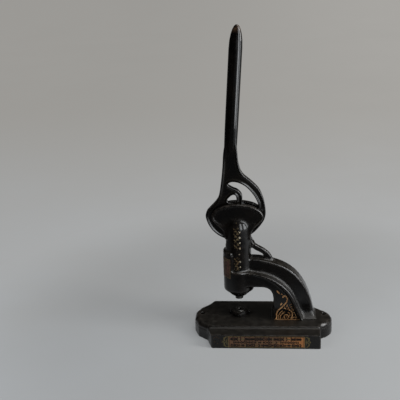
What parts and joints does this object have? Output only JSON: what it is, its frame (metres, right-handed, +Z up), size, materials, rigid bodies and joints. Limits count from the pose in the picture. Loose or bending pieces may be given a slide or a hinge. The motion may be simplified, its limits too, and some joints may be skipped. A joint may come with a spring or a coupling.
{
  "type": "hand lever press",
  "caption": "Cast C-frame bench hand press: an upright openwork lever turns a cam that pushes a spring-returned ram down over a small die holder on a bolted base.",
  "frame": {"origin": "on the underside of the base, in the press's centre plane, halfway between the two bench screw holes", "axes": "+X along the base towards the arm's heel, +Y away from the side with the panel, +Z up along the lever and the ram"},
  "size_m": [0.2175, 0.111, 0.4855],
  "materials": {
    "japan": "black japan over cast iron, semi-gloss and worn",
    "steel": "turned steel",
    "dark_steel": "oil-blacked steel",
    "bronze": "turned bearing bronze"
  },
  "bodies": {
    "press": {"base": "japan", "frame": "japan", "frame_bolts": "dark_steel", "frame_washers": "steel", "frame_dowels": "steel", "pivot_bolt": "dark_steel", "pivot_washer": "steel", "stop_pin": "steel", "nose_cap": "japan", "ram_key_screw": "dark_steel", "return_spring": "dark_steel", "die_ring": "dark_steel", "die_ring_nut": "dark_steel", "die_button": "steel", "die_screws": "dark_steel"},
    "lever": {"lever": "japan", "hub_bush": "bronze"},
    "ram": {"ram": "steel", "roller_pin": "dark_steel", "punch_screw": "dark_steel"},
    "roller": {"cam_roller": "steel"}
  },
  "joints": [
    {"name": "lever_pivot", "type": "hinge", "parent": "press", "child": "lever", "pos_m": [-0.037, 0, 0.196], "axis": [0, -1, 0], "range_deg": [0, 80]},
    {"name": "ram_slide", "type": "slide", "parent": "press", "child": "ram", "axis": [0, 0, -1], "range_m": [0, 0.008], "stiffness_N_per_m": 7500, "springref_m": -0.004, "deforming": ["return_spring"]},
    {"name": "roller_spin", "type": "hinge", "parent": "ram", "child": "roller", "pos_m": [-0.037, 0, 0.1475], "axis": [0, 1, 0], "continuous": true}
  ],
  "couplings": [
    {"joint": "ram_slide", "follows": "lever_pivot", "m_per_rad": 0.0057295}
  ]
}
